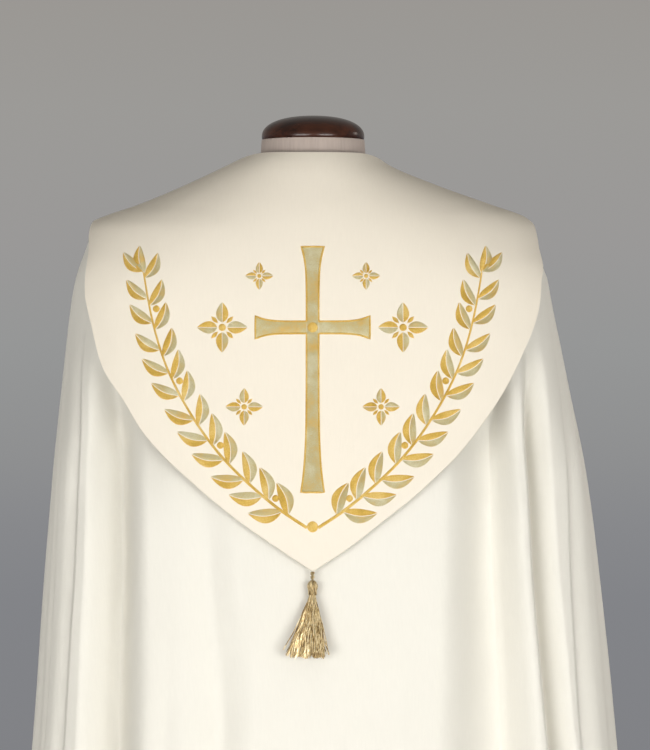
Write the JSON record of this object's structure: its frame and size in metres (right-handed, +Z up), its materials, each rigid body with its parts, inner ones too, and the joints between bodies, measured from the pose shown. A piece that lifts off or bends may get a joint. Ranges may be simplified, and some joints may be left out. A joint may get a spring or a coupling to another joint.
{
  "type": "cope vestment on a limbless dress form with a stand",
  "caption": "Full-length church cope in soft vertical folds, with a shield-shaped back hood and a tassel at its point, on a limbless dress form with pole and round base.",
  "frame": {"origin": "centre of the underside of the stand's round base", "axes": "+Z up along the stand and the neck; -Y is the wearer's back, where the hood lies; +X is the wearer's right"},
  "size_m": [0.8668, 0.6375, 1.5441],
  "materials": {
    "cope_cloth": "smooth matt ivory cloth with a faint sheen",
    "hood_cloth": "smooth matt cream cloth with gold satin-stitch embroidery",
    "gold_thread": "antique gold metallic thread",
    "form_linen": "greyish beige plain-weave cover",
    "dark_wood": "polished dark mahogany",
    "steel": "satin"
  },
  "bodies": {
    "root": {"cope_back": "cope_cloth", "cope_left_front": "cope_cloth", "cope_right_front": "cope_cloth", "hood": "hood_cloth", "morse_band": "cope_cloth", "tassel_cord": "gold_thread", "tassel": "gold_thread", "form_body": "form_linen", "form_neck_cap": "dark_wood", "stand_pole": "steel", "stand_socket": "steel", "stand_base": "dark_wood"}
  },
  "joints": []
}
